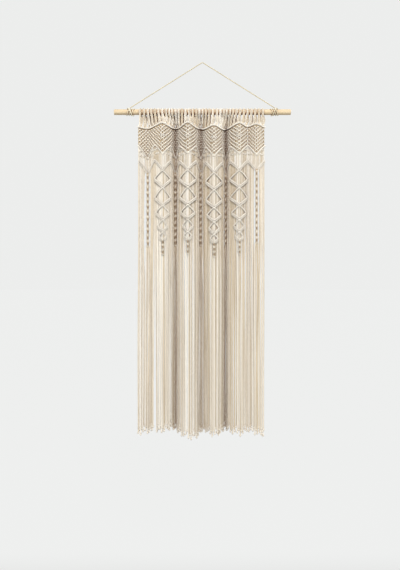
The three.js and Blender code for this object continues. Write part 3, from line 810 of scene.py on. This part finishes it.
# Heading loops: two cords side by side over the dowel, tied with a square knot under it. throughs are
# where a cord passes that knot in front, backs how deep its other leg runs aside behind it.
heading = {"left": -0.318, "right": 0.307, "even": 0.7, "apart": 0.0056, "thickness": 0.0054, "gap": 0.0002,
           "over": 9, "arc": (-18, 198), "waver": 0.0004, "slip": 0.0002,
           "knotDown": 0.049, "knotShift": 0.55, "knotDepth": 0.5, "knotTurn": 0.5,
           "knotSize": (0.576, 0.72, 0.72),
           "throughs": ((-0.002, -0.006), (-0.003, 0.006)), "throughApart": 0.002,
           "backs": (0.030, 0.050), "behind": 0.0087, "backIn": 0.004, "backBend": 0.3, "footOut": 0.001}


def headingLoop(column, j, index):
    f = (2 * j + 1 - cloth["loops"]) / cloth["loops"]
    spot = spotAt(column, f)
    allLoops = len(columns) * cloth["loops"]
    evenX = mix(heading["left"], heading["right"], index / (allLoops - 1))
    topX = mix(spot["place"].x, evenX, heading["even"])
    knot = Vector((mix(topX, spot["place"].x, heading["knotShift"]), spot["place"].y * heading["knotDepth"],
                   dowelAxis - heading["knotDown"]))
    radius = dowelRadius + heading["thickness"] / 2 + heading["gap"]
    lines = []
    for cord, (front, back) in enumerate(((0, 1), (3, 2))):
        apart = (cord - 0.5) * heading["apart"]
        x = topX + apart + chance.uniform(-heading["waver"], heading["waver"])
        frontFoot = pointAt(column, shareOf(4 * j + front), 0.0, heading["footOut"])
        backFoot = pointAt(column, shareOf(4 * j + back), 0.0, -heading["footOut"])
        line = [frontFoot, frontFoot.lerp(knot, 0.5)]
        for y, z in heading["throughs"]:
            line.append(knot + Vector(((front - 1.5) * heading["throughApart"], y, z)))
        for step in range(heading["over"]):
            angle = math.radians(mix(*heading["arc"], step / (heading["over"] - 1)))
            slip = chance.uniform(-heading["slip"], heading["slip"])
            line.append(roundDowel(x + slip, radius, angle))
        aside = Vector((apart + heading["behind"], heading["backIn"], 0))
        line += [Vector((knot.x, knot.y, dowelAxis - down)) + aside for down in heading["backs"]]
        line += [backFoot.lerp(knot + aside, heading["backBend"]), backFoot]
        lines.append(line)
    place = {"at": knot, "out": spot["out"].lerp(Vector((0, -1, 0)), heading["knotTurn"]),
             "right": Vector((1, 0, 0)), "size": heading["knotSize"]}
    return lines, place


def makeHeading():
    lines, places = [], []
    for column in columns:
        for j in range(cloth["loops"]):
            pair, place = headingLoop(column, j, len(places))
            lines += pair
            places.append(place)
    loops = cords("headingCords", lines, heading["thickness"], sides=7)
    knots = stamped("headingKnots", "square", places)
    finish(joined("headingLoops", [loops, knots]), "knotted_panel")


makeHeading()
print("heading made")

# The columns below the panel. lean is how far the strands drift sideways on their way down.
leans = [(-0.002, -0.008), (0.008, 0.002), (0.002, -0.003), (-0.003, 0.003), (0.003, 0.004),
         (0.004, -0.003), (-0.003, -0.005), (-0.002, 0.004), (0.004, -0.001)]
# How far the strands beside a spiral stand away from it, to its left and right; below zero they close up
openings = {0: (0.005, 0.005), 2: (-0.010, -0.010), 4: (-0.010, -0.010), 6: (0.002, -0.010),
            8: (0.003, 0.004)}
# It starts at top and reaches down by long. The strands next to the spiral move most, others less.
opening = {"top": 0.20, "long": 0.52, "shape": 0.4, "core": 2.5, "fade": 3.0}
fringe = {"sway": 0.0025, "wave": 0.040, "stagger": 0.011, "uneven": 0.010, "rhythm": 0.9,
          "knotUp": 0.0078, "knotSize": (1.2, 1, 1.2), "thickness": 0.0054, "points": 15, "wander": 0.0022,
          "wanderWaves": 5, "tuck": 0.0075}
# Every second strand lies behind its neighbours: by a part of deep at first, and by all of it lower down
layers = {"deep": 0.0013, "least": 0.25, "top": 0.5, "long": 0.2}
yoke = {"reach": 0.985, "out": 0.0034, "size": 0.80, "belows": (0.0026, 0.0122)}
diamonds = [
    {"half": 0.96, "middle": 0.278, "foot": 0.318},
    {"half": 0.9, "middle": 0.372, "foot": 0.408},
    {"half": 0.74, "middle": 0.449, "foot": 0.480},
    {"half": 0.48, "middle": 0.517, "foot": 0.541},
    {"half": 0.33, "middle": 0.569, "foot": 0.588},
]
diamond = {"top": 0.240, "step": 0.008, "size": 0.86, "upperOut": 0.0058, "lowerOut": 0.0056,
           "between": 0.0092}
tail = {"foot": 0.662, "forward": 0.009, "halfTurns": 3, "size": 0.78}
# tones: of a half knot that faces the front, and of one seen edge on, which is darker as painted shade in the
# dimples of the twist
spiral = {"top": 0.236, "foot": 0.604, "halfTurns": 12, "pitch": 0.0052, "forward": 0.007, "size": 1.0,
          "tones": (0.95, 0.10), "held": 2, "apart": 0.0047, "free": 0.070, "footRoom": 0.004}
# The spiral's core cords take a low tone: painted shade, as they show only inside the knots
spiralCore = {"apart": 0.0019, "thickness": 0.0044, "above": 0.012, "below": 0.004, "tone": 0.3}


def onPlan(spot, forward=0.0):
    return Vector((*spot["place"], 0)) + spot["out"] * forward


def fringeLine(column, k):
    f = shareOf(k)
    spot, middle = spotAt(column, f), spotAt(column, 0)
    number = column["index"] * cloth["strands"] + k
    side = 1 if number % 2 == 0 else -1
    ends = spot["hem"] - side * fringe["stagger"] - fringe["uneven"] * math.sin(number * fringe["rhythm"])
    foot = ends + fringe["knotUp"]
    sway = fringe["sway"] * math.sin(alongAt(column, f) / fringe["wave"])
    drift = Vector((mix(*leans[column["index"]], (f + 1) / 2), sway, 0))
    outer = k - (cloth["strands"] - 1) / 2
    held = column["kind"] == "spiral" and abs(outer) < spiral["held"]
    if held:
        root = middle["bar"] - spiral["foot"] + spiral["footRoom"]
    else:
        root = spot["bar"] - zigzag(yokeRow, f) - fringe["tuck"]
    phase = chance.uniform(0, tau)
    wander = Vector((chance.uniform(-1, 1), chance.uniform(-1, 1), 0)) * fringe["wander"]
    layer = spot["out"] * side * layers["deep"]
    opened = openings.get(column["index"], (0, 0))[0 if outer < 0 else 1] * math.copysign(1, outer)
    nearness = 0.0 if held else max(0.0, 1 - (abs(outer) - opening["core"]) / opening["fade"])
    push = spot["right"] * opened * nearness
    gather = onPlan(middle, spiral["forward"]) + middle["right"] * outer * spiral["apart"]
    line = []
    for step in range(fringe["points"]):
        t = step / (fringe["points"] - 1)
        z = mix(root, foot, t)
        below = spot["bar"] - z
        waved = math.sin(math.pi * t) * math.sin(phase + fringe["wanderWaves"] * t)
        lower = min(1, max(0, (below - opening["top"]) / opening["long"]))
        place = onPlan(spot) + drift * t + wander * waved
        place += layer * min(1, max(layers["least"], (below - layers["top"]) / layers["long"]))
        place += push * math.sin(math.pi * lower) ** opening["shape"]
        if held:
            place = gather.lerp(place, min((root - z) / spiral["free"], 1.0))
        line.append(Vector((place.x, place.y, z)))
    tip = {"at": line[-1].copy(), "out": spot["out"], "right": spot["right"], "size": fringe["knotSize"]}
    return line, tip


# Half knots down an axis that turn as they go
def twisted(axis, top, foot, halfTurns, size):
    count = round((top - foot) / (spiral["pitch"] * size))
    places = []
    for i in range(count):
        t = (i + 0.5) / count
        angle = t * halfTurns * math.pi
        # Painted shade: the more a half knot turns edge on, the darker its tone
        places.append({"at": Vector((axis.x, axis.y, mix(top, foot, t))),
                       "out": Vector((math.sin(angle), -math.cos(angle), 0)),
                       "right": Vector((math.cos(angle), math.sin(angle), 0)),
                       "tone": mix(*spiral["tones"], math.sin(angle) ** 2), "size": (size, size, size)})
    return places


# How far out a share of the width stands as seen from the front, from 0 to 1 at the diamond's corner
def seenShare(column, f, half):
    middle, here, corner = [spotAt(column, g)["place"].x for g in (0, f, math.copysign(half, f))]
    return (here - middle) / (corner - middle)


def diamondRows(column):
    rows = []
    level = spotAt(column, 0)["bar"]
    top = diamond["top"]
    for shape in diamonds:
        half = shape["half"]
        upper = lambda f: mix(top, shape["middle"], seenShare(column, f, half))
        lower = lambda f: mix(shape["foot"], shape["middle"], seenShare(column, f, half))
        second = lambda f: lower(f) + diamond["between"]
        for downAt, out in ((upper, "upperOut"), (lower, "lowerOut"), (second, "lowerOut")):
            rows.append(rowAcross(column, half, downAt, diamond[out], level, stops=5))
        top = shape["foot"] + diamond["step"]
    return rows, shape["foot"]


# The four cords that a spiral's half knots are tied round
def spiralCords(column, top, foot):
    apart = spiralCore["apart"]
    aside = spotAt(column, 0)["right"] * apart
    heights = (top + spiralCore["above"], foot - spiralCore["below"])
    return [[heightAt(column, 0, z, spiral["forward"] + y * apart) + aside * x for z in heights]
            for x in (-1, 1) for y in (-1, 1)]


def makeColumn(column):
    name = f"{column['kind']}Column{column['index'] + 1}"
    strands, tips = zip(*[fringeLine(column, k) for k in range(cloth["strands"])])
    parts = [cords(name + "Strands", list(strands), fringe["thickness"], sides=7),
             stamped(name + "Ends", "end", tips)]
    yokeRows = [rowAcross(column, yoke["reach"], lambda f: zigzag(yokeRow, f) + below, yoke["out"])
                for below in yoke["belows"]]
    parts.append(hitched(name + "Yoke", yokeRows, yoke["size"]))
    middle = spotAt(column, 0)
    if column["kind"] == "spiral":
        twist, top = spiral, spiral["top"]
    else:
        twist = tail
        rows, top = diamondRows(column)
        parts.append(hitched(name + "Diamonds", rows, diamond["size"]))
    places = twisted(onPlan(middle, twist["forward"]), middle["bar"] - top, middle["bar"] - twist["foot"],
                     twist["halfTurns"], twist["size"])
    if column["kind"] == "spiral":
        core = spiralCords(column, places[0]["at"].z, places[-1]["at"].z)
        parts.append(cords(name + "Core", core, spiralCore["thickness"], smoothing=1,
                           tones=[spiralCore["tone"]] * len(core)))
    parts.append(stamped(name + "Knots", "half", places))
    finish(joined(name, parts), f"{column['kind']}_column_{column['index'] + 1}")


for column in columns:
    makeColumn(column)
print("columns made")

for shape in knotShapes.values():
    bpy.data.objects.remove(shape)

# Pale studio: bright behind the curtain and dimmer before it, with two soft lights from the front.
# The floor lies well below and glows as the studio does, bright behind and dim in front.
studio = {"floor": -2.75, "reach": 300.0, "pale": "#F4F5F4", "floorBase": "#202020",
          "back": 0.93, "front": 0.50, "turn": 0.35, "floorTurn": 0.6, "aim": (0, 0, -0.9),
          "RightLight": {"at": (1.8, -9.0, 5.4), "power": 1040.0, "size": 2.6},
          "LeftLight": {"at": (-3.0, -9.0, 3.0), "power": 420.0, "size": 4.0}}


def addLight(name):
    lamp = bpy.data.lights.new(name, "AREA")
    lamp.energy = studio[name]["power"]
    lamp.size = studio[name]["size"]
    light = bpy.data.objects.new(name, lamp)
    light.location = studio[name]["at"]
    light.rotation_euler = (Vector(studio["aim"]) - light.location).to_track_quat("-Z", "Y").to_euler()
    bpy.context.scene.collection.objects.link(light)


# How bright the studio is at a place or in a direction, from front to back
def backGlow(tree, turn):
    here = addNode(tree, "ShaderNodeTexCoord").outputs["Object"]
    forward = addNode(tree, "ShaderNodeSeparateXYZ", {0: here}).outputs["Y"]
    return addNode(tree, "ShaderNodeMapRange", {
        "Value": forward, "From Min": -turn, "From Max": turn,
        "To Min": studio["front"], "To Max": studio["back"]},
        interpolation_type="SMOOTHSTEP").outputs[0]


def makeStudio():
    # The floor's paint is dark; it looks pale only because it glows, bright behind and dim in front
    material, tree, surface = newMaterial("GlowingFloor")
    surface.inputs["Base Color"].default_value = colour(studio["floorBase"])
    surface.inputs["Specular IOR Level"].default_value = 0.0
    surface.inputs["Roughness"].default_value = 0.9
    surface.inputs["Emission Color"].default_value = colour(studio["pale"])
    tree.links.new(backGlow(tree, studio["floorTurn"]), surface.inputs["Emission Strength"])
    mesh = bpy.data.meshes.new("floor")
    r, z = studio["reach"], studio["floor"]
    mesh.from_pydata([(-r, -r, z), (r, -r, z), (r, r, z), (-r, r, z)], [], [(0, 1, 2, 3)])
    mesh.materials.append(material)
    floor = bpy.data.objects.new("floor", mesh)
    bpy.context.scene.collection.objects.link(floor)
    floor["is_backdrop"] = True
    world = bpy.data.worlds.new("Studio")
    bpy.context.scene.world = world
    world.use_nodes = True
    sky = next(node for node in world.node_tree.nodes if node.type == "BACKGROUND")
    sky.inputs["Color"].default_value = colour(studio["pale"])
    world.node_tree.links.new(backGlow(world.node_tree, studio["turn"]), sky.inputs["Strength"])
    addLight("RightLight")
    addLight("LeftLight")
    bpy.context.scene.view_settings.view_transform = "Standard"


makeStudio()

dressed = [o for o in bpy.context.scene.objects
           if o.type == "MESH" and not o.hide_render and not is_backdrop(o)]
counts = {o.name: sum(len(p.vertices) - 2 for p in o.data.polygons) for o in dressed}
print("triangles", sum(counts.values()), counts)
